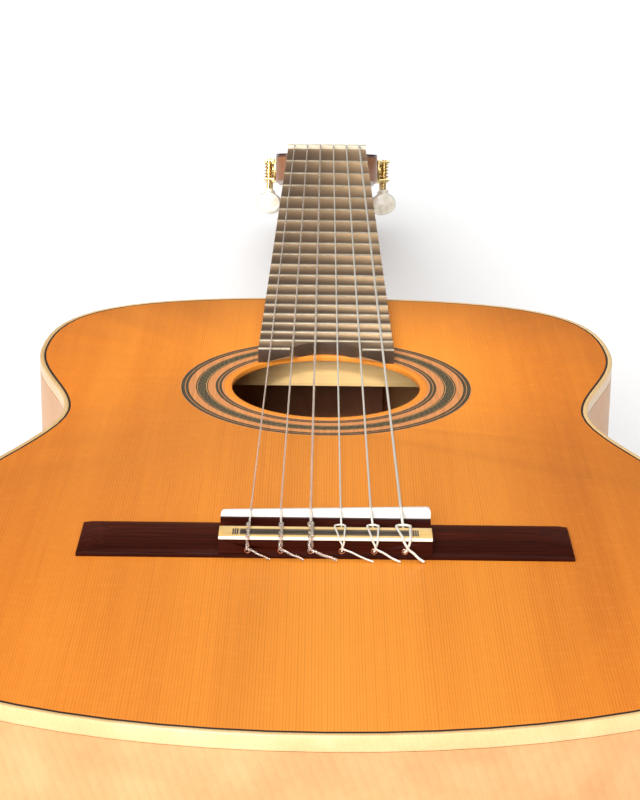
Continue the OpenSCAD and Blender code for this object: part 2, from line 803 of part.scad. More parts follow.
module string(i)
    color([0.85, 0.83, 0.78]) {
        route = string_route(i);
        skin([for (k = [0:len(route) - 1]) string_ring(route, k, string_r(i))]);
    }

// ---- Nodes ----

soundboard();
rosette();
back_half(1);  // back_bass_half
back_half(-1);  // back_treble_half
back_center_inlay();
rib(1);  // rib_bass
rib(-1);  // rib_treble
top_linings();
back_linings();
fan_braces();
harmonic_bars();
back_braces();
tail_block();
top_purfling();
top_binding();
back_binding();
neck();
heel_cap();
headstock();
head_veneer();
fingerboard();
frets();
nut();
bridge();
tie_block_bone();
tie_block_mosaic();
saddle();
tuner_plate(1);  // tuner_plate_bass
tuner_plate(-1);  // tuner_plate_treble
plate_screws();
for (i = [1:6]) {
    string(i);
    worm(i);
    button(i);
    roller(i);
    gear(i);
}
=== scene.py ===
"""Looks of the classical guitar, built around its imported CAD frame. Lengths are in metres."""

import json
import math

import bmesh
import bpy
from mathutils import Matrix, Vector


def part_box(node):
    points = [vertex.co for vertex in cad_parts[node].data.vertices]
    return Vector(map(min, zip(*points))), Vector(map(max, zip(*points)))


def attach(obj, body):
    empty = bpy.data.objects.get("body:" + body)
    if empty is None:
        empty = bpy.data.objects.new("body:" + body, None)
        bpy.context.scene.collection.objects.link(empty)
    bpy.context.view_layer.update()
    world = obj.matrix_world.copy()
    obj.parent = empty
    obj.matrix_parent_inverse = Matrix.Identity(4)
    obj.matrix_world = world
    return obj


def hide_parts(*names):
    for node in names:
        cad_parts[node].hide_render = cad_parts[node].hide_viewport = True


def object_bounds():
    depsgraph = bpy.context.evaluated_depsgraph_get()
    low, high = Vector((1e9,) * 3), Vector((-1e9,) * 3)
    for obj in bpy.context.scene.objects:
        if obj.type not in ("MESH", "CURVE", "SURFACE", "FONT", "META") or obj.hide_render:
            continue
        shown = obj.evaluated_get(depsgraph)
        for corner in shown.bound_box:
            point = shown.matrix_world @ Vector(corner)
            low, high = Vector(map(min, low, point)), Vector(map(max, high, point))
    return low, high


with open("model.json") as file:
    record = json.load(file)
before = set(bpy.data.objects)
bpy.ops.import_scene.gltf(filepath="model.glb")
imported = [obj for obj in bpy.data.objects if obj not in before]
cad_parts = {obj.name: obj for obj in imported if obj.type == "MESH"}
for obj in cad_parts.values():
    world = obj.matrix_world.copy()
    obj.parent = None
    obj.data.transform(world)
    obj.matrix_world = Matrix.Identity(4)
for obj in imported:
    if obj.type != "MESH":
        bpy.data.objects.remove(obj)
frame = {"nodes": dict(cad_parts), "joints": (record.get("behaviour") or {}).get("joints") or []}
CAD_BOX = [list(corner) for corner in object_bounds()]
NODES = frame["nodes"]
JOINTS = {joint["name"]: joint for joint in frame["joints"]}
ROOT = "guitar"
MM = 0.001
STRINGS = range(1, 7)

# ---- Places, from the frame ----

TOP_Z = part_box("soundboard")[1].z
BLOCK_LOW, BLOCK_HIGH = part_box("tie_block_bone")
MOSAIC_LOW, MOSAIC_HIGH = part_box("tie_block_mosaic")
SADDLE_LOW, SADDLE_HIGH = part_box("saddle")
NUT_LOW, NUT_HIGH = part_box("nut")
SADDLE_Y = (SADDLE_LOW.y + SADDLE_HIGH.y) / 2
NUT_Y = (NUT_LOW.y + NUT_HIGH.y) / 2
ROSETTE_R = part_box("rosette")[1].x

# ---- Sizes of the CAD part that the frame doesn't state, and of the details ----

HEAD_TILT = math.radians(15)
ROSETTE_INNER_R = 47.6 * MM
TILE_BAND = (ROSETTE_INNER_R + 8.6 * MM, ROSETTE_INNER_R + 11.9 * MM)
TILES_ROUND, TILE_ROWS = 240, 5
ROLLER_R = 5 * MM
ROLLER_HOLE_X = 23 * MM
WINDING_TURNS, WINDING_STEPS = 4.0, 26
STRETCH_STEPS = 60
BASS_TIE_SHARE = 0.92
TIE_HOLE_H = 3.3 * MM
TIE_HOLE_RISE = 2.1 * MM
NODE_CREASE, PIECE_CREASE = math.radians(32), math.radians(40)
WELD_REACH = 1e-6
STRING_D = {1: 0.71 * MM, 2: 0.82 * MM, 3: 1.03 * MM, 4: 0.76 * MM, 5: 0.90 * MM, 6: 1.10 * MM}


def side_of(i):
    """-1 for the treble strings' side, 1 for the bass strings' side."""
    return -1 if i <= 3 else 1


def station(node, y, reach, z_min=-1.0):
    """Centre of a CAD string's ring near y."""
    points = [v.co for v in NODES[node].data.vertices if abs(v.co.y - y) < reach and v.co.z > z_min]
    low = Vector([min(p[k] for p in points) for k in range(3)])
    high = Vector([max(p[k] for p in points) for k in range(3)])
    return (low + high) / 2


# ---- Material nodes ----


class Surface:
    """A Principled material, with short calls for the nodes that feed it."""

    def __init__(self, name, **values):
        self.material = bpy.data.materials.new(name)
        self.material.use_nodes = True
        self.tree = self.material.node_tree
        self.shader = self.tree.nodes["Principled BSDF"]
        for socket, value in values.items():
            self.shader.inputs[socket.replace("_", " ")].default_value = value
        self.object_place = self.add("ShaderNodeTexCoord").outputs["Object"]

    def add(self, kind, **settings):
        node = self.tree.nodes.new(kind)
        for key, value in settings.items():
            setattr(node, key, value)
        return node

    def feed(self, socket, value):
        if isinstance(value, bpy.types.NodeSocket):
            self.tree.links.new(value, socket)
        else:
            socket.default_value = value

    def math(self, operation, *values, clamp=False):
        node = self.add("ShaderNodeMath", operation=operation, use_clamp=clamp)
        for socket, value in zip(node.inputs, values):
            self.feed(socket, value)
        return node.outputs[0]

    def vector(self, operation, *values):
        node = self.add("ShaderNodeVectorMath", operation=operation)
        for socket, value in zip(node.inputs, values):
            self.feed(socket, value)
        return node.outputs["Value" if operation in ("LENGTH", "DOT_PRODUCT") else "Vector"]

    def moved(self, place, scale=(1, 1, 1), turn=(0, 0, 0), shift=(0, 0, 0)):
        node = self.add("ShaderNodeMapping")
        self.feed(node.inputs["Vector"], place)
        node.inputs["Location"].default_value = shift
        node.inputs["Rotation"].default_value = turn
        node.inputs["Scale"].default_value = scale
        return node.outputs[0]

    def split(self, place):
        node = self.add("ShaderNodeSeparateXYZ")
        self.feed(node.inputs[0], place)
        return node.outputs

    def noise(self, place, scale=1.0, detail=2.0, roughness=0.5):
        node = self.add("ShaderNodeTexNoise")
        self.feed(node.inputs["Vector"], place)
        node.inputs["Scale"].default_value = scale
        node.inputs["Detail"].default_value = detail
        node.inputs["Roughness"].default_value = roughness
        return node.outputs["Fac"]

    def ramp(self, value, stops, steps=False):
        node = self.add("ShaderNodeValToRGB")
        node.color_ramp.interpolation = "CONSTANT" if steps else "LINEAR"
        elements = node.color_ramp.elements
        while len(elements) < len(stops):
            elements.new(0.5)
        for element, (position, colour) in zip(elements, stops):
            element.position = position
            element.color = (*colour, 1) if len(colour) == 3 else colour
        self.feed(node.inputs["Fac"], value)
        return node.outputs["Color"]

    def curve(self, value, low, high, to_low, to_high):
        node = self.add("ShaderNodeMapRange", clamp=True)
        for socket, number in zip(node.inputs, (value, low, high, to_low, to_high)):
            self.feed(socket, number)
        return node.outputs[0]

    def spread(self, noise, to_low, to_high):
        """Maps the range that a noise mostly keeps to, 0.3 to 0.7, to the two values."""
        return self.curve(noise, 0.3, 0.7, to_low, to_high)

    def weighted(self, a, share_a, b, share_b):
        """Sum of two values, each times its share."""
        return self.math("ADD", self.math("MULTIPLY", a, share_a), self.math("MULTIPLY", b, share_b))

    def mix(self, amount, a, b, blend="MIX"):
        node = self.add("ShaderNodeMix", data_type="RGBA", blend_type=blend)
        self.feed(node.inputs["Factor"], amount)
        self.feed(node.inputs[6], a if not isinstance(a, tuple) else (*a, 1))
        self.feed(node.inputs[7], b if not isinstance(b, tuple) else (*b, 1))
        return node.outputs[2]

    def bump(self, height, distance, strength=1.0, under=None):
        node = self.add("ShaderNodeBump")
        node.inputs["Distance"].default_value = distance
        node.inputs["Strength"].default_value = strength
        self.feed(node.inputs["Height"], height)
        if under is not None:
            self.feed(node.inputs["Normal"], under)
        return node.outputs[0]

    def finish(self, colour, roughness, normal=None):
        self.feed(self.shader.inputs["Base Color"], colour)
        self.feed(self.shader.inputs["Roughness"], roughness)
        if normal is not None:
            self.feed(self.shader.inputs["Normal"], normal)
        return self.material


# Turns that lay the grain along y, along x, or along the tilted headstock
GRAIN_TURN = {"y": (0, 0, 0), "x": (0, 0, math.pi / 2), "head": (HEAD_TILT, 0, 0)}
CEDAR_CENTRE, CEDAR_LINES = (0.95, 0.38, 0.055), (0.26, 0.05, 0.004)
# Darkest, middle and lightest colour of each wood and bone
TONES = {
    "cedar_top": [(0.6, 0.155, 0.015), (0.73, 0.21, 0.02), (0.83, 0.265, 0.028)],
    "back_wood": [(0.05, 0.014, 0.006), (0.12, 0.035, 0.014), (0.24, 0.08, 0.03)],
    "rib_wood": [(0.54, 0.26, 0.1), (0.68, 0.35, 0.145), (0.78, 0.44, 0.2)],
    "inner_spruce": [(0.94, 0.54, 0.19), (0.99, 0.65, 0.26), (1.0, 0.73, 0.36)],
    "neck_wood": [(0.17, 0.06, 0.025), (0.27, 0.105, 0.045), (0.36, 0.16, 0.075)],
    "rosewood": [(0.008, 0.001, 0.0005), (0.045, 0.007, 0.003), (0.2, 0.034, 0.013)],
    "fingerboard_wood": [(0.035, 0.02, 0.012), (0.065, 0.037, 0.022), (0.12, 0.07, 0.04)],
    "light_binding": [(0.66, 0.4, 0.16), (0.8, 0.53, 0.24), (0.88, 0.64, 0.34)],
    "dark_purfling": [(0.012, 0.006, 0.004), (0.025, 0.012, 0.008), (0.05, 0.025, 0.015)],
    "bone": [(0.72, 0.62, 0.42), (0.84, 0.76, 0.58), (0.9, 0.85, 0.7)],
    "tie_bone": [(0.66, 0.4, 0.12), (0.8, 0.54, 0.2), (0.88, 0.64, 0.28)],
    "saddle_bone": [(0.82, 0.79, 0.7), (0.9, 0.88, 0.82), (0.94, 0.93, 0.9)],
    "roller_plastic": [(0.7, 0.62, 0.45), (0.8, 0.74, 0.58), (0.86, 0.82, 0.7)],
}


def wood(name, tones, grain="y", spacing=1.0, lines=0.3, pores=0.3, rough=(0.3, 0.45), seed=0.0, streak=0.5,
         **values):
    """Wood whose grain runs along an axis: growth lines `spacing` mm apart, fine fibres and open pores."""
    s = Surface(name, **values)
    place = s.moved(s.object_place, turn=GRAIN_TURN[grain], shift=(seed, seed * 0.7, seed * 0.3))
    x, y, z = s.split(place)[0:3]
    wander = s.noise(s.moved(place, scale=(18, 1.5, 18)), detail=3)
    across = s.math("ADD", s.math("ADD", x, s.math("MULTIPLY", z, 0.35)), s.math("MULTIPLY", wander, 0.006))
    wave = s.math("FRACT", s.math("MULTIPLY", across, 1000 / spacing))
    late = s.math("POWER", wave, 3.0)
    strength = s.noise(s.moved(place, scale=(420, 6, 420)), detail=1)
    broad = s.noise(s.moved(place, scale=(34, 1.1, 34)), detail=4, roughness=0.6)
    fibre = s.noise(s.moved(place, scale=(2600, 45, 2600)), detail=3, roughness=0.7)
    flecks = s.curve(s.noise(s.moved(place, scale=(3200, 110, 3200)), detail=2), 0.62, 0.75, 0.0, 1.0)
    tone = s.weighted(broad, 1 - streak * 0.5, fibre, streak * 0.5)
    colour = s.ramp(tone, [(0.28, tones[0]), (0.5, tones[1]), (0.72, tones[2])])
    dark = tuple(c * 0.45 for c in tones[0])
    line_amount = s.math("MULTIPLY", s.math("MULTIPLY", late, s.spread(strength, 0.35, 1.0)), lines)
    colour = s.mix(line_amount, colour, dark)
    colour = s.mix(s.math("MULTIPLY", flecks, pores), colour, dark)
    height = s.math("SUBTRACT", s.math("MULTIPLY", fibre, 0.4), s.math("MULTIPLY", flecks, pores))
    normal = s.bump(height, 0.06 * MM, 0.5)
    wear = s.weighted(fibre, 0.6, broad, 0.4)
    return s.finish(colour, s.spread(wear, *rough), normal)


def cedar():
    """Soundboard: straight fine grain, paler near the centre joint, silk across the grain, satin lacquer."""
    s = Surface("cedar_top", Coat_Weight=0.08, Coat_Roughness=0.25, Specular_IOR_Level=0.25)
    place = s.object_place
    x, y, _ = s.split(place)[0:3]
    wander = s.noise(s.moved(place, scale=(9, 0.9, 1)), detail=2)
    mirrored = s.math("ADD", s.math("ABSOLUTE", x), s.math("MULTIPLY", wander, 0.004))
    spread = s.noise(s.moved(place, scale=(60, 0.6, 1)), detail=1)
    lines_per_metre = 930
    across = s.math("ADD", mirrored, s.math("MULTIPLY", spread, 0.003))
    wave = s.math("FRACT", s.math("MULTIPLY", across, lines_per_metre))
    late = s.math("POWER", wave, 4.0)
    each = s.noise(s.moved(place, scale=(500, 3, 1)), detail=1)
    lines = s.math("MULTIPLY", late, s.spread(each, 0.3, 0.85))
    broad = s.noise(s.moved(place, scale=(24, 1.1, 1)), detail=4, roughness=0.62)
    fibre = s.noise(s.moved(place, scale=(2400, 26, 1)), detail=3, roughness=0.7)
    silk = s.noise(s.moved(place, scale=(130, 320, 1)), detail=2, roughness=0.55)
    tone = s.weighted(broad, 0.75, fibre, 0.25)
    dark, middle, light = TONES["cedar_top"]
    colour = s.ramp(tone, [(0.3, dark), (0.5, middle), (0.7, light)])
    centre = s.curve(s.math("ABSOLUTE", x), 0.0, 0.12, 0.45, 0.0)
    colour = s.mix(centre, colour, CEDAR_CENTRE)
    colour = s.mix(s.math("MULTIPLY", s.curve(silk, 0.52, 0.75, 0.0, 1.0), 0.16), colour, CEDAR_CENTRE)
    colour = s.mix(s.math("MULTIPLY", lines, 0.62), colour, CEDAR_LINES)
    height = s.weighted(lines, 0.6, fibre, 0.4)
    normal = s.bump(height, 0.05 * MM, 0.35)
    return s.finish(colour, s.spread(fibre, 0.34, 0.5), normal)


def rosette_material():
    """Inlaid rings by radius: fine dark and green lines, brown bands, and a mosaic of small tiles."""
    s = Surface("rosette_wood", Coat_Weight=0.08, Coat_Roughness=0.25, Specular_IOR_Level=0.25)
    x, y, _ = s.split(s.object_place)[0:3]
    radius = s.vector("LENGTH", s.vector("MULTIPLY", s.object_place, (1, 1, 0)))
    angle = s.math("ARCTAN2", y, x)
    depth = s.curve(radius, ROSETTE_INNER_R, ROSETTE_R, 0.0, 1.0)
    black, green = (0.055, 0.042, 0.024), (0.09, 0.076, 0.044)
    cream, brown = (0.72, 0.4, 0.15), (0.72, 0.29, 0.1)
    span = (ROSETTE_R - ROSETTE_INNER_R) / MM
    # Millimetres outward from the inner edge at which each ring starts
    rings = [
        (0.0, brown), (1.1, black), (1.5, green), (2.3, brown), (2.6, green), (3.5, black), (3.9, brown),
        (7.5, black), (8.0, cream), (8.3, black), (8.6, green), (11.9, black), (12.2, cream), (12.5, black),
        (13.0, brown), (16.5, black), (16.9, green), (17.9, brown), (18.2, green), (19.4, black),
        (19.9, brown),
    ]
    colour = s.ramp(depth, [(at / span, tint) for at, tint in rings], steps=True)
    turn = s.math("FLOOR", s.math("MULTIPLY", angle, TILES_ROUND / math.tau))
    row = s.math("FLOOR", s.curve(radius, *TILE_BAND, 0.0, TILE_ROWS))
    cell = s.math("ADD", s.math("MULTIPLY", turn, 2.0), row)
    pick = s.math("MODULO", s.math("ABSOLUTE", s.math("ADD", cell, 4000.0)), 5.0)
    tints = [(0.0, black), (0.3, green), (0.5, cream), (0.7, green), (0.9, black)]
    tile = s.ramp(s.math("DIVIDE", pick, 5.0), tints, steps=True)
    past_inner = s.math("GREATER_THAN", radius, TILE_BAND[0])
    inside = s.math("MULTIPLY", past_inner, s.math("LESS_THAN", radius, TILE_BAND[1]))
    colour = s.mix(s.math("MULTIPLY", inside, 0.2), colour, tile)
    grain = s.noise(s.moved(s.object_place, scale=(1500, 40, 1)), detail=3)
    colour = s.mix(0.5, colour, s.ramp(grain, [(0.3, (0.35, 0.35, 0.35)), (0.7, (1, 1, 1))]), "MULTIPLY")
    return s.finish(colour, s.spread(grain, 0.32, 0.5), s.bump(grain, 0.04 * MM, 0.3))


def mosaic_material():
    """Tie-block strip: long black, green and red-brown lines, with short upright bars at both ends."""
    s = Surface("tie_mosaic", Coat_Weight=0.3, Coat_Roughness=0.2)
    x, y, _ = s.split(s.object_place)[0:3]
    depth = s.curve(y, MOSAIC_LOW.y, MOSAIC_HIGH.y, 0.0, 1.0)
    black, dark = (0.02, 0.014, 0.01), (0.06, 0.038, 0.022)
    mid, pale = (0.2, 0.13, 0.065), (0.66, 0.46, 0.22)
    lines = s.ramp(depth, [
        (0.0, mid), (0.12, dark), (0.2, mid), (0.27, black), (0.42, dark), (0.58, black), (0.73, mid),
        (0.8, dark), (0.88, mid)], steps=True)
    end = s.math("SUBTRACT", MOSAIC_HIGH.x, s.math("ABSOLUTE", x))
    end_l = 2.9 * MM
    bars = s.ramp(s.curve(end, 0.0, end_l, 0.0, 1.0), [
        (0.0, black), (0.17, pale), (0.28, black), (0.46, pale), (0.57, black), (0.76, pale)], steps=True)
    colour = s.mix(s.math("LESS_THAN", end, end_l), lines, bars)
    grain = s.noise(s.moved(s.object_place, scale=(60, 1800, 1)), detail=3)
    colour = s.mix(0.45, colour, s.ramp(grain, [(0.3, (0.3, 0.3, 0.3)), (0.7, (1, 1, 1))]), "MULTIPLY")
    return s.finish(colour, s.spread(grain, 0.22, 0.4), s.bump(grain, 0.03 * MM, 0.3))


def bone_material(name, tones, rough=(0.22, 0.38), lit_back_edge=None):
    """Polished bone or bone-like plate: faint streaks, small pits, soft glow and, if stated, a painted
    highlight along its lit back edge.
    """
    s = Surface(name, Subsurface_Weight=0.15, Subsurface_Radius=(0.002, 0.0012, 0.0006),
                Subsurface_Scale=0.5)
    streaks = s.noise(s.moved(s.object_place, scale=(90, 700, 700)), detail=4, roughness=0.6)
    cloud = s.noise(s.object_place, scale=45, detail=3)
    tone = s.weighted(streaks, 0.5, cloud, 0.5)
    colour = s.ramp(tone, [(0.3, tones[0]), (0.55, tones[1]), (0.75, tones[2])])
    pits = s.curve(s.noise(s.object_place, scale=2600, detail=1), 0.68, 0.76, 0.0, 1.0)
    colour = s.mix(s.math("MULTIPLY", pits, 0.25), colour, tones[0])
    if lit_back_edge:
        # Painted highlight: a pale band on the block's back face and back edge, which face the front light.
        lit_edge_y, highlight_tone = lit_back_edge
        y = s.math("ADD", s.split(s.object_place)[1], s.math("MULTIPLY", streaks, 0.3 * MM))
        colour = s.mix(s.curve(y, lit_edge_y + 0.4 * MM, lit_edge_y + 0.8 * MM, 1.0, 0.0), colour, highlight_tone)
    normal = s.bump(s.math("SUBTRACT", s.math("MULTIPLY", streaks, 0.4), pits), 0.02 * MM, 0.4)
    return s.finish(colour, s.spread(streaks, *rough), normal)


def metal(name, colour, rough, tarnish, scratch_turn=(0, 0, 0)):
    """Polished metal with fine scratches, finger dulling and darker tarnish."""
    s = Surface(name, Metallic=1.0)
    scratches = s.noise(s.moved(s.object_place, scale=(120, 5200, 5200), turn=scratch_turn), detail=2)
    cloud = s.noise(s.object_place, scale=110, detail=4, roughness=0.6)
    tint = s.mix(s.curve(cloud, 0.45, 0.75, 0.0, 0.65), colour, tarnish)
    wear = s.weighted(scratches, 0.5, cloud, 0.5)
    return s.finish(tint, s.spread(wear, *rough), s.bump(scratches, 0.01 * MM, 0.4))


def nylon_material(name, clear):
    """Nylon that lets a share of the light through, with a slight milky skin."""
    s = Surface(name, Transmission_Weight=clear, IOR=1.53)
    cloud = s.noise(s.moved(s.object_place, scale=(900, 60, 900)), detail=2)
    colour = s.ramp(cloud, [(0.3, (0.9, 0.78, 0.68)), (0.7, (0.98, 0.9, 0.83))])
    return s.finish(colour, s.spread(cloud, 0.05, 0.14), s.bump(cloud, 0.01 * MM, 0.3))


def wound_material(name, metallic, wire_d):
    """Silver-plated wire wound on a nylon core: a fine thread across the string, with painted shade towards
    the grooves between turns.
    """
    s = Surface(name, Metallic=metallic)
    _, y, z = s.split(s.object_place)[0:3]
    wire = s.math("FRACT", s.math("MULTIPLY", y, 1 / wire_d))
    round_wire = s.math("SINE", s.math("MULTIPLY", wire, math.pi))
    cloud = s.noise(s.object_place, scale=300, detail=2)
    # Painted shade and painted highlight: each turn's colour darkens towards the grooves between turns and
    # brightens on its crown; the same profile also drives the bump.
    colour = s.mix(s.math("POWER", round_wire, 0.6), (0.4, 0.36, 0.3), (0.84, 0.8, 0.71))
    colour = s.mix(s.curve(cloud, 0.5, 0.8, 0.0, 0.3), colour, (0.6, 0.52, 0.42))
    return s.finish(colour, s.spread(cloud, 0.3, 0.45), s.bump(round_wire, 0.04 * MM, 0.6))


def pearl_material():
    """Pearl-like button plastic: soft swirls under a gloss coat."""
    s = Surface("button_plastic", Coat_Weight=0.6, Coat_Roughness=0.06, Subsurface_Weight=0.1,
                Subsurface_Radius=(0.002, 0.0015, 0.001), Subsurface_Scale=0.5)
    swirl = s.noise(s.moved(s.object_place, scale=(220, 90, 220)), detail=5, roughness=0.65)
    colour = s.ramp(swirl, [(0.3, (0.62, 0.54, 0.4)), (0.5, (0.82, 0.77, 0.64)), (0.7, (0.93, 0.9, 0.82))])
    return s.finish(colour, s.spread(swirl, 0.16, 0.3), s.bump(swirl, 0.02 * MM, 0.2))


def floor_material():
    """Plain pale paper with a faint tooth."""
    s = Surface("floor_paper")
    grain = s.noise(s.object_place, scale=900, detail=2)
    colour = s.ramp(grain, [(0.3, (0.93, 0.93, 0.93)), (0.7, (0.96, 0.96, 0.96))])
    return s.finish(colour, 0.75, s.bump(grain, 0.05 * MM, 0.2))


LACQUER = {"Coat_Weight": 0.4, "Coat_Roughness": 0.18}
MATERIALS = {
    "cedar_top": cedar(),
    "rosette_wood": rosette_material(),
    "back_wood": wood("back_wood", TONES["back_wood"], spacing=3.5, lines=0.5, pores=0.5, rough=(0.22, 0.34),
                      Coat_Weight=0.6, Coat_Roughness=0.08),
    "rib_wood": wood("rib_wood", TONES["rib_wood"], spacing=4.0, lines=0.15, pores=0.25, Coat_Weight=0.12,
                     Coat_Roughness=0.2, Specular_IOR_Level=0.25),
    "inner_spruce": wood("inner_spruce", TONES["inner_spruce"], grain="x", spacing=1.3, lines=0.25,
                         pores=0.1, rough=(0.55, 0.7)),
    "neck_wood": wood("neck_wood", TONES["neck_wood"], spacing=5.0, lines=0.15, pores=0.6, rough=(0.34, 0.5),
                      **LACQUER),
    "rosewood": wood("rosewood", TONES["rosewood"], grain="x", spacing=2.4, lines=0.6, pores=0.6,
                     rough=(0.32, 0.48), seed=1.7, streak=0.75, Specular_IOR_Level=0.06),
    "head_rosewood": wood("head_rosewood", TONES["rosewood"], grain="head", spacing=2.8, lines=0.6,
                          pores=0.6, rough=(0.2, 0.34), seed=0.4, Coat_Weight=0.6, Coat_Roughness=0.07),
    "fingerboard_wood": wood("fingerboard_wood", TONES["fingerboard_wood"], spacing=2.0, lines=0.3,
                             pores=0.7, rough=(0.36, 0.5), seed=0.9, Sheen_Weight=0.8, Sheen_Roughness=0.35,
                             Sheen_Tint=(0.95, 0.62, 0.34, 1)),
    "light_binding": wood("light_binding", TONES["light_binding"], spacing=2.2, lines=0.1, pores=0.12,
                          **LACQUER),
    "dark_purfling": wood("dark_purfling", TONES["dark_purfling"], spacing=1.5, lines=0.3, pores=0.3,
                          **LACQUER),
    "tie_mosaic": mosaic_material(),
    "bone": bone_material("bone", TONES["bone"]),
    # The tie bone's back edge gets a painted highlight, a pale band where the front light falls.
    "tie_bone": bone_material("tie_bone", TONES["tie_bone"], (0.3, 0.42),
                              lit_back_edge=(BLOCK_LOW.y, (0.95, 0.9, 0.78))),
    "saddle_bone": bone_material("saddle_bone", TONES["saddle_bone"]),
    "fret_metal": metal("fret_metal", (0.27, 0.225, 0.165), (0.42, 0.58), (0.2, 0.16, 0.11)),
    "brass": metal("brass", (0.83, 0.62, 0.27), (0.12, 0.28), (0.5, 0.33, 0.12)),
    "copper_rim": metal("copper_rim", (0.72, 0.36, 0.24), (0.25, 0.4), (0.4, 0.16, 0.09)),
    "nylon": nylon_material("nylon", 0.7),
    "tie_nylon": nylon_material("tie_nylon", 0.84),
    "wound_string": wound_material("wound_string", 0.3, 0.16 * MM),
    "tie_wire": wound_material("tie_wire", 0.1, 0.3 * MM),
    "button_plastic": pearl_material(),
    "roller_plastic": bone_material("roller_plastic", TONES["roller_plastic"]),
}

# ---- CAD nodes: material, bevelled edges, smooth shading ----

# Each node's material and the width of its rounded edges in mm
NODE_FINISH = {
    "soundboard": ("cedar_top", 0.2), "rosette": ("rosette_wood", 0), "back_bass_half": ("back_wood", 0),
    "back_treble_half": ("back_wood", 0), "back_center_inlay": ("light_binding", 0),
    "rib_bass": ("rib_wood", 0), "rib_treble": ("rib_wood", 0), "top_linings": ("inner_spruce", 0.5),
    "back_linings": ("inner_spruce", 0.5), "fan_braces": ("inner_spruce", 0.6),
    "harmonic_bars": ("inner_spruce", 0.8), "back_braces": ("inner_spruce", 0.8),
    "tail_block": ("neck_wood", 0.8), "top_purfling": ("dark_purfling", 0),
    "top_binding": ("light_binding", 0.5), "back_binding": ("light_binding", 0.5),
    "neck": ("neck_wood", 0.3), "heel_cap": ("rosewood", 0.3), "headstock": ("neck_wood", 0.5),
    "head_veneer": ("head_rosewood", 0.35), "fingerboard": ("fingerboard_wood", 0.35),
    "frets": ("fret_metal", 0), "nut": ("bone", 0.2), "bridge": ("rosewood", 0.3),
    "tie_block_bone": ("tie_bone", 0.2), "tie_block_mosaic": ("tie_mosaic", 0),
    "saddle": ("saddle_bone", 0.45), "tuner_plate_bass": ("brass", 0.2),
    "tuner_plate_treble": ("brass", 0.2), "plate_screws": ("brass", 0.3),
}
for number in STRINGS:
    NODE_FINISH[f"worm_{number}"] = ("brass", 0)
    NODE_FINISH[f"gear_{number}"] = ("brass", 0.08)
    NODE_FINISH[f"roller_{number}"] = ("roller_plastic", 0.2)
    NODE_FINISH[f"button_{number}"] = ("button_plastic", 0.9)


def soften(obj, bevel_mm):
    """Welds the split edges, rounds the sharp ones (or keeps them sharp) and shades the rest smooth."""
    weld = obj.modifiers.new("weld", "WELD")
    weld.merge_threshold = WELD_REACH
    if bevel_mm:
        bevel = obj.modifiers.new("bevel", "BEVEL")
        bevel.width = bevel_mm * MM
        bevel.segments = 3
        bevel.limit_method = "ANGLE"
        bevel.angle_limit = NODE_CREASE
        bevel.harden_normals = True
    else:
        split = obj.modifiers.new("sharp_edges", "EDGE_SPLIT")
        split.split_angle = NODE_CREASE
    for polygon in obj.data.polygons:
        polygon.use_smooth = True


def finish_cad_nodes():
    """Gives every CAD node that is kept its material and its edges."""
    for node_name, (material_name, bevel_mm) in NODE_FINISH.items():
        cad_node = NODES[node_name]
        cad_node.data.materials.clear()
        cad_node.data.materials.append(MATERIALS[material_name])
        soften(cad_node, bevel_mm)


# ---- Mesh pieces ----


def smooth_path(points, steps=8):
    """Catmull-Rom curve through the points."""
    points = [Vector(p) for p in points]
    padded = [2 * points[0] - points[1], *points, 2 * points[-1] - points[-2]]
    path = []
    for a, b, c, d in zip(padded, padded[1:], padded[2:], padded[3:]):
        for k in range(steps):
            t = k / steps
            bend = (2 * a - 5 * b + 4 * c - d) * t**2 + (3 * b - a - 3 * c + d) * t**3
            path.append(0.5 * (2 * b + (c - a) * t + bend))
    path.append(points[-1])
    return path


def add_tube(bm, path, radius, sides=12):
    """Closed tube along the path, its rings turned as little as possible from one to the next."""
    count = len(path)
    tangents = [(path[min(k + 1, count - 1)] - path[max(k - 1, 0)]).normalized() for k in range(count)]
    normal = tangents[0].orthogonal().normalized()
    rings = []
    for place, tangent in zip(path, tangents):
        normal = (normal - tangent * normal.dot(tangent)).normalized()
        other = tangent.cross(normal)
        ring = []
        for j in range(sides):
            turn = math.tau * j / sides
            ring.append(bm.verts.new(place + radius * (math.cos(turn) * normal + math.sin(turn) * other)))
        rings.append(ring)
    for low, high in zip(rings, rings[1:]):
        for j in range(sides):
            bm.faces.new((low[j], low[(j + 1) % sides], high[(j + 1) % sides], high[j]))
    bm.faces.new(list(reversed(rings[0])))
    bm.faces.new(rings[-1])


def add_piece(name, bm, material_name, body):
    """Turns the mesh into a named piece that rides on a body."""
    bmesh.ops.recalc_face_normals(bm, faces=bm.faces)
    mesh = bpy.data.meshes.new(name)
    bm.to_mesh(mesh)
    bm.free()
    mesh.materials.append(MATERIALS[material_name])
    obj = bpy.data.objects.new(name, mesh)
    bpy.context.scene.collection.objects.link(obj)
    for polygon in mesh.polygons:
        polygon.use_smooth = True
    mesh.set_sharp_from_angle(angle=PIECE_CREASE)
    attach(obj, body)
    return obj


# ---- Strings ----


def string_look(i):
    """Material of a string."""
    return "nylon" if i <= 3 else "wound_string"


def hole_place(i):
    """Centre of a string's tie hole at the back of the block."""
    points = [v.co for v in NODES[f"string_{i}"].data.vertices if v.co.y < BLOCK_HIGH.y + 1 * MM]
    x = (min(p.x for p in points) + max(p.x for p in points)) / 2
    return Vector((x, BLOCK_LOW.y, TOP_Z + TIE_HOLE_H))


def rounded_corner(before, corner, after, radius, steps=6):
    """Points that take a bend at a corner round an arc instead."""
    a = (before - corner).normalized()
    b = (after - corner).normalized()
    start, end = corner + a * radius, corner + b * radius
    shares = [k / steps for k in range(steps + 1)]
    return [start.lerp(corner, share).lerp(corner.lerp(end, share), share) for share in shares]


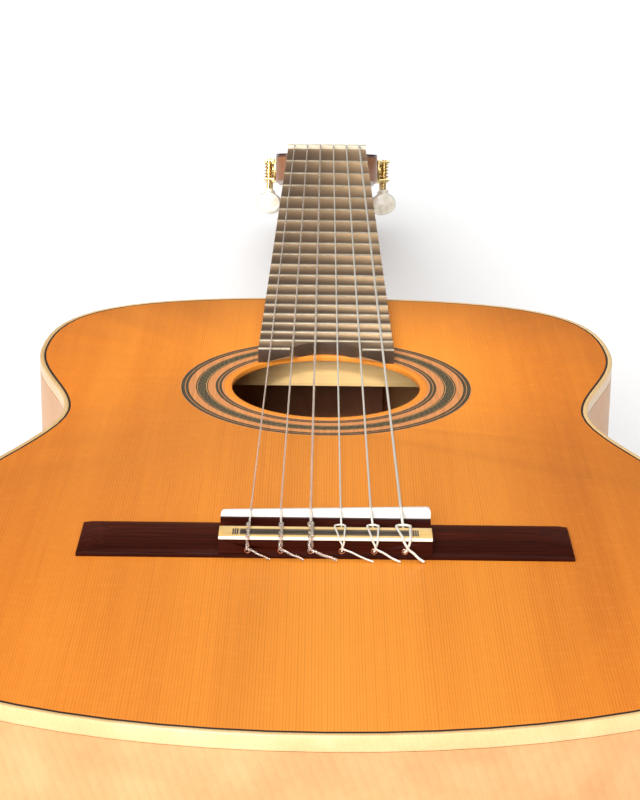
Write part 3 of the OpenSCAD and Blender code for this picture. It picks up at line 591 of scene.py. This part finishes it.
def string_run(i):
    """The stretch from the tie hole over the saddle and the nut to the roller."""
    node = f"string_{i}"
    hole = hole_place(i)
    over_saddle = station(node, SADDLE_Y, 2 * MM, TOP_Z + 9 * MM)
    over_nut = station(node, NUT_Y, 3 * MM)
    far_y = max(v.co.y for v in NODES[node].data.vertices)
    end = station(node, far_y, 1 * MM)
    in_block = Vector((hole.x, BLOCK_LOW.y + 1 * MM, hole.z + 0.2 * MM))
    out_front = Vector((hole.x, BLOCK_HIGH.y + 0.4 * MM, hole.z + TIE_HOLE_RISE))
    path = [in_block]
    path += rounded_corner(in_block, out_front, over_saddle, 0.8 * MM)
    path += rounded_corner(out_front, over_saddle, over_nut, 0.9 * MM)
    path += [over_saddle.lerp(over_nut, k / STRETCH_STEPS) for k in range(1, STRETCH_STEPS)]
    path += rounded_corner(over_saddle, over_nut, end, 1.2 * MM)
    path += [end]
    bm = bmesh.new()
    add_tube(bm, path, STRING_D[i] / 2, 14)
    look = string_look(i)
    run = add_piece(f"string_run_{i}", bm, look, ROOT)
    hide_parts(node)
    return end


def block_wrap(i, clearance):
    """The way from a tie hole's mouth up the block's back, over its top and to its front edge."""
    hole = hole_place(i)
    back, front, top = BLOCK_LOW.y - clearance, BLOCK_HIGH.y, BLOCK_HIGH.z + clearance
    return [
        Vector((hole.x, back - 0.1 * MM, hole.z + 0.3 * MM)),
        Vector((hole.x, back - 0.05 * MM, hole.z + 2.2 * MM)),
        Vector((hole.x, back + 0.15 * MM, top - 0.75 * MM)),
        Vector((hole.x, back + 1.1 * MM, top + 0.05 * MM)),
        Vector((hole.x, (back + front) / 2, top)),
        Vector((hole.x, front - 1.0 * MM, top + 0.05 * MM)),
        Vector((hole.x, front + 0.7 * MM, top - 0.35 * MM)),
    ]


def treble_tie(i):
    """Two strands of nylon twisted round each other, a small knot at the front and a tail to the right."""
    r = STRING_D[i] / 2
    turns = 3.0 if i == 1 else 2.5
    centre = smooth_path(block_wrap(i, 2.05 * r), 16)
    bm = bmesh.new()
    for phase in (0, math.pi):
        strand = []
        for k, place in enumerate(centre):
            tangent = (centre[min(k + 1, len(centre) - 1)] - centre[max(k - 1, 0)]).normalized()
            out = Vector((1, 0, 0)).cross(tangent).normalized()
            turn = phase + math.tau * turns * k / (len(centre) - 1) + 0.2 * math.sin(k * 0.31 + i)
            strand.append(place + 1.25 * r * (math.cos(turn) * Vector((1, 0, 0)) + math.sin(turn) * out))
        add_tube(bm, strand, r, 12)
    head = centre[-1]
    knot = []
    for k in range(26):
        turn = math.tau * 1.25 * k / 25
        round_string = Vector((1.75 * math.cos(turn), 0.3 - 0.03 * k, 1.7 * math.sin(turn)))
        knot.append(head + r * round_string)
    add_tube(bm, knot, r, 12)
    tail_root = 6
    start = centre[tail_root] + Vector((0.9 * r, -1.4 * r, 0))
    reach = {1: 8.2, 2: 8.4, 3: 9.5}[i] * MM
    low = TOP_Z + r + 0.5 * MM
    tail = [
        start,
        start + Vector((1.6 * MM, -0.35 * MM, -0.5 * MM)),
        start + Vector((0.45 * reach, -0.9 * MM, -1.6 * MM)),
        Vector((start.x + 0.75 * reach, start.y - 1.3 * MM, low + 0.9 * MM)),
        Vector((start.x + reach, start.y - 1.7 * MM, low)),
    ]
    add_tube(bm, smooth_path(tail, 8), r, 12)
    add_piece(f"string_tie_{i}", bm, "tie_nylon", ROOT)


# Millimetres right of the hole: the loop's left and right strands at the block's front edge, the same at its
# back edge, where the strands cross, and the tail's end
BASS_TIES = {
    4: (-2.7, 1.35, -1.2, 0.9, 0.5, 12.1),
    5: (-2.5, 1.8, -1.1, 1.35, 0.85, 10.0),
    6: (-3.05, 2.3, -1.1, 1.95, 1.5, 7.3),
}


def bass_tie(i):
    """One loop over the block that traps the string in front, crosses over itself and ends in a tail."""
    r = STRING_D[i] / 2
    hole = hole_place(i)
    back, front, top = BLOCK_LOW.y - r, BLOCK_HIGH.y, BLOCK_HIGH.z + r
    left_front, right_front, left_back, right_back, cross, reach = (v * MM for v in BASS_TIES[i])
    down = top - hole.z
    points = [
        (0, back + 1.2 * MM, hole.z), (0, back - 0.15 * MM, hole.z + 0.1 * MM),
        (0.55 * cross, back - 0.15 * MM, hole.z + 0.2 * down),
        (0.9 * right_back, back - 0.1 * MM, top - 0.35 * down),
        (right_back, back + 0.35 * MM, top - 0.1 * MM),
        (1.05 * right_back, back + 2.5 * MM, top + 0.05 * MM),
        (0.95 * right_front, front - 2.0 * MM, top + 0.05 * MM),
        (right_front, front - 0.2 * MM, top + 0.15 * MM),
        (0.7 * right_front, front + 0.75 * MM, top - 0.05 * MM), (0, front + 1.0 * MM, top + 0.15 * MM),
        (0.8 * left_front, front + 0.7 * MM, top + 0.05 * MM),
        (left_front, front - 0.5 * MM, top + 0.15 * MM),
        (0.93 * left_front, front - 2.5 * MM, top + 0.1 * MM),
        (0.7 * left_front, front - 6.0 * MM, top + 0.1 * MM),
        (left_back, back + 0.4 * MM, top + 0.05 * MM), (0.6 * left_back, back - 0.25 * MM, top - 0.2 * down),
        (0.3 * cross, back - 1.6 * r, top - 0.5 * down), (cross, back - 2.2 * r, hole.z + 0.25 * down),
        (cross + 0.3 * (reach - cross), back - 1.4 * MM, hole.z + 0.2 * MM),
        (cross + 0.65 * (reach - cross), back - 2.1 * MM, TOP_Z + 1.7 * MM),
        (reach, back - 3.0 * MM, TOP_Z + r + 0.1 * MM),
    ]
    bm = bmesh.new()
    add_tube(bm, smooth_path([(hole.x + x, y, z) for x, y, z in points], 10), r * BASS_TIE_SHARE, 12)
    add_piece(f"string_tie_{i}", bm, "tie_wire", ROOT)


def string_winding(i, end):
    """Turns of string round the roller, from where the stretch lands to the roller's hole."""
    axis = Vector(JOINTS[f"roller_spin_{i}"]["pos_m"])
    r = STRING_D[i] / 2
    radius = ROLLER_R + r
    offset = end - axis
    start = math.atan2(offset.y, offset.z)
    hole_x = side_of(i) * ROLLER_HOLE_X
    bm = bmesh.new()
    path = []
    steps = int(WINDING_TURNS * WINDING_STEPS)
    for k in range(steps + 1):
        turn = start + math.tau * WINDING_TURNS * k / steps
        x = end.x + (hole_x - end.x) * k / steps
        path.append(Vector((x, axis.y + radius * math.sin(turn), axis.z + radius * math.cos(turn))))
    add_tube(bm, path, r, 12)
    look = string_look(i)
    add_piece(f"string_winding_{i}", bm, look, f"post_{i}")


def hole_rims():
    """Worn copper-coloured rims round the six tie holes."""
    rim_r, rim_thickness, proud = 1.05 * MM, 0.36 * MM, 0.02 * MM
    bm = bmesh.new()
    for i in STRINGS:
        hole = hole_place(i)
        ring = []
        for k in range(25):
            turn = math.tau * k / 24
            ring.append(hole + Vector((rim_r * math.cos(turn), -proud, rim_r * math.sin(turn))))
        add_tube(bm, ring, rim_thickness / 2, 8)
    add_piece("tie_hole_rims", bm, "copper_rim", ROOT)


def gear_screw(i):
    """Slotted dome screw that holds a gear on its roller."""
    low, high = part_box(f"gear_{i}")
    axis = Vector(JOINTS[f"roller_spin_{i}"]["pos_m"])
    side = side_of(i)
    face = high.x if side > 0 else low.x
    radius, rise, slot_half, slot_depth = 2.1 * MM, 0.85 * MM, 0.25 * MM, 0.4 * MM
    bm = bmesh.new()
    rings, sides = 7, 28
    rows = []
    for k in range(rings + 1):
        bend = math.pi / 2 * k / rings
        row = []
        for j in range(sides):
            turn = math.tau * j / sides
            y, z = radius * math.cos(bend) * math.cos(turn), radius * math.cos(bend) * math.sin(turn)
            cut = slot_depth if abs(z) < slot_half and k > 1 else 0
            row.append(bm.verts.new((face + side * (rise * math.sin(bend) - cut), axis.y + y, axis.z + z)))
        rows.append(row)
    for low_row, high_row in zip(rows, rows[1:]):
        for j in range(sides):
            bm.faces.new((low_row[j], low_row[(j + 1) % sides], high_row[(j + 1) % sides], high_row[j]))
    bmesh.ops.remove_doubles(bm, verts=bm.verts, dist=WELD_REACH)
    bm.faces.new(rows[0])
    add_piece(f"gear_screw_{i}", bm, "brass", f"post_{i}")


# ---- Floor, light, camera ----


def floor():
    """Square pale floor just under the guitar's back."""
    half, gap = 6.0, 0.2 * MM
    bm = bmesh.new()
    corners = [(-half, -half), (half, -half), (half, half), (-half, half)]
    bm.faces.new([bm.verts.new((x, y, CAD_BOX[0][2] - gap)) for x, y in corners])
    mesh = bpy.data.meshes.new("floor")
    bm.to_mesh(mesh)
    bm.free()
    mesh.materials.append(floor_material())
    obj = bpy.data.objects.new("floor", mesh)
    bpy.context.scene.collection.objects.link(obj)


def add_light(name, kind, energy, source):
    """Light that shines from the direction `source` towards the guitar."""
    light = bpy.data.lights.new(name, kind)
    light.energy = energy
    obj = bpy.data.objects.new(name, light)
    obj.rotation_mode = "QUATERNION"
    obj.rotation_quaternion = (-Vector(source)).to_track_quat("-Z", "Y")
    bpy.context.scene.collection.objects.link(obj)
    return obj


def soft_sun(name, source, spread_deg, strength):
    """Distant softbox, as wide as `spread_deg`."""
    add_light(name, "SUN", strength, source).data.angle = math.radians(spread_deg)


def hole_snoot():
    """Soft narrow light on the soundhole, which also reaches the first bar behind it."""
    low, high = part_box("rosette")
    middle = Vector(((low.x + high.x) / 2, (low.y + high.y) / 2, TOP_Z))
    offset = Vector((-0.1, -1.15, 0.78))
    obj = add_light("hole_snoot", "SPOT", 85, offset)
    obj.location = middle + offset
    obj.data.spot_size = math.radians(8)
    obj.data.spot_blend = 1.0
    obj.data.shadow_soft_size = 0.09


def studio():
    """A large soft box above and in front, a lower front fill, a narrow light on the hole and a dim room."""
    world = bpy.data.worlds.new("studio")
    bpy.context.scene.world = world
    world.use_nodes = True
    background = world.node_tree.nodes["Background"]
    background.inputs["Color"].default_value = (1, 0.98, 0.95, 1)
    background.inputs["Strength"].default_value = 0.14
    soft_sun("overhead", (-0.16, -0.42, 1.0), 90, 2.88)
    soft_sun("front_fill", (-0.3, -1.0, 0.34), 30, 2.4)
    hole_snoot()
    bpy.context.scene.view_settings.view_transform = "Standard"


def camera():
    """The photograph's viewing angle: from beyond the tail, looking along the neck."""
    # Metres behind the saddle, to the bass side of the middle, and above the top
    back, side, above = 0.7895, -0.0027, 0.3333
    pitch, roll = math.radians(19.317), math.radians(0.651)
    data = bpy.data.cameras.new("camera")
    data.sensor_width = 36
    data.lens = 98.85
    data.clip_start, data.clip_end = 0.05, 30
    obj = bpy.data.objects.new("camera", data)
    forward = Vector((0, math.cos(pitch), -math.sin(pitch)))
    right = Vector((1, 0, 0))
    up = right.cross(forward)
    right, up = right * math.cos(roll) + up * math.sin(roll), up * math.cos(roll) - right * math.sin(roll)
    turn = Matrix((right, up, -forward)).transposed()
    place = Vector((side, SADDLE_Y - back, TOP_Z + above))
    obj.matrix_world = Matrix.Translation(place) @ turn.to_4x4()
    bpy.context.scene.collection.objects.link(obj)
    bpy.context.scene.camera = obj


# ---- Build ----

finish_cad_nodes()
for number in STRINGS:
    run_end = string_run(number)
    if number <= 3:
        treble_tie(number)
    else:
        bass_tie(number)
    string_winding(number, run_end)
hole_rims()
for number in STRINGS:
    gear_screw(number)
floor()
studio()
camera()
